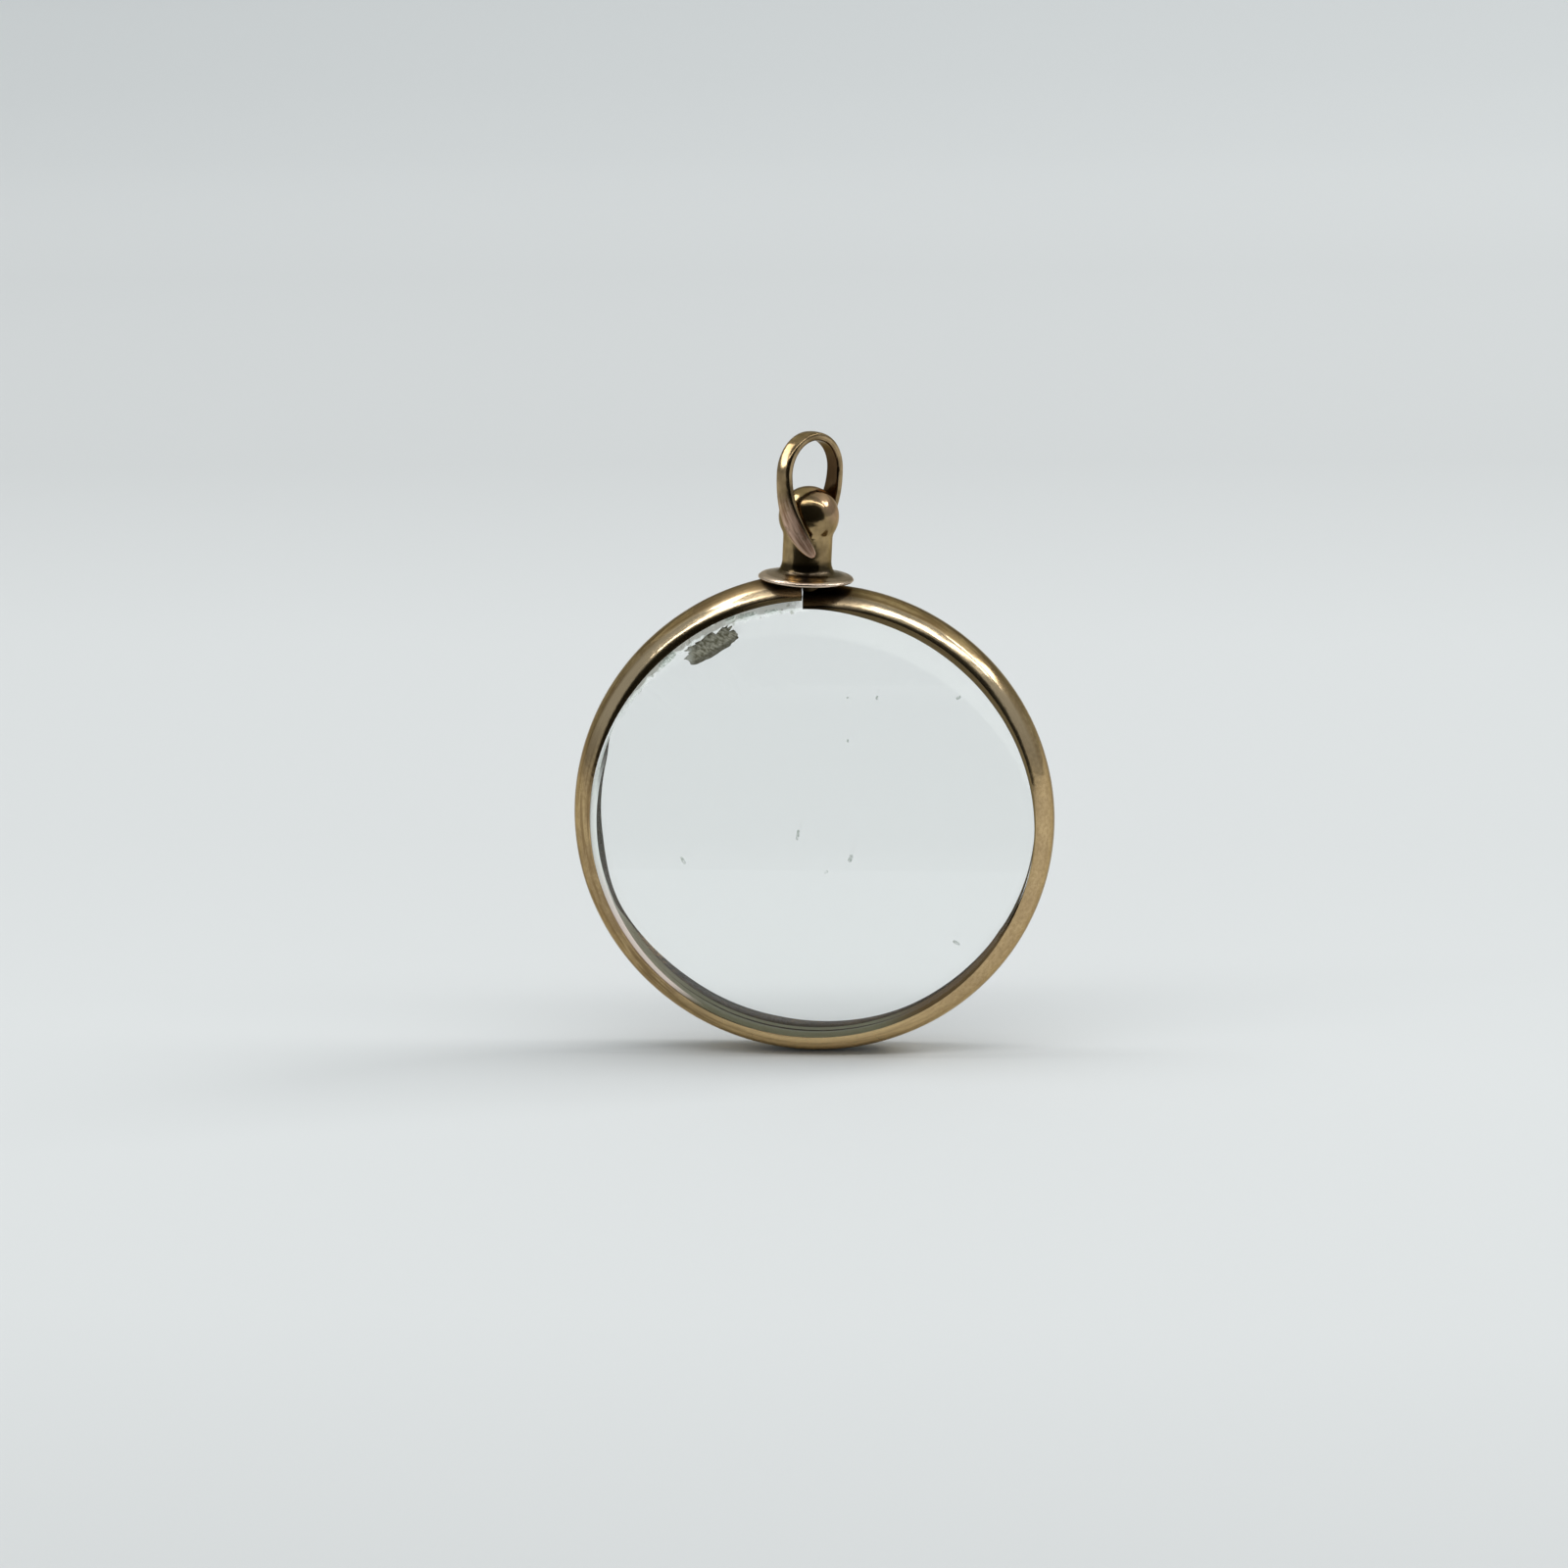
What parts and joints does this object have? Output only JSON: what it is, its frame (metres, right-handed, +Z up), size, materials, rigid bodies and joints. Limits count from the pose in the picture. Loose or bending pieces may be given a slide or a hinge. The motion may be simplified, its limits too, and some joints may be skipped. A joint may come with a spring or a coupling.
{
  "type": "floating locket",
  "caption": "Round floating locket: a half-round gold hoop holds bevelled clear glass panes and is closed by a screw-on cap, whose ball turns on an oval bail.",
  "frame": {"origin": "highest point inside the bail's loop, where a chain carries the locket", "axes": "+Z up with the locket hanging, -Y towards the locket's front, +X to the front's right"},
  "size_m": [0.026, 0.0051, 0.0339],
  "materials": {
    "bail_gold": "worn satin gold",
    "cap_gold": "worn satin gold",
    "frame_gold": "worn satin gold",
    "pane_glass": "clear, bevelled"
  },
  "bodies": {
    "bail": {"bail": "bail_gold"},
    "cap": {"screw_cap": "cap_gold"},
    "locket": {"frame": "frame_gold", "glass_front": "pane_glass", "glass_back": "pane_glass"}
  },
  "joints": [
    {"name": "bail_swing", "type": "hinge", "parent": "bail", "child": "cap", "pos_m": [-0.00017, 0.00007, -0.00407], "axis": [-0.3851, -0.9229, 0], "range_deg": [-128, 128]},
    {"name": "cap_screw", "type": "hinge", "parent": "cap", "child": "locket", "pos_m": [-0.00017, 0.00007, -0.00407], "axis": [-0.0593, 0, -0.9982], "range_deg": [0, 1170]}
  ]
}
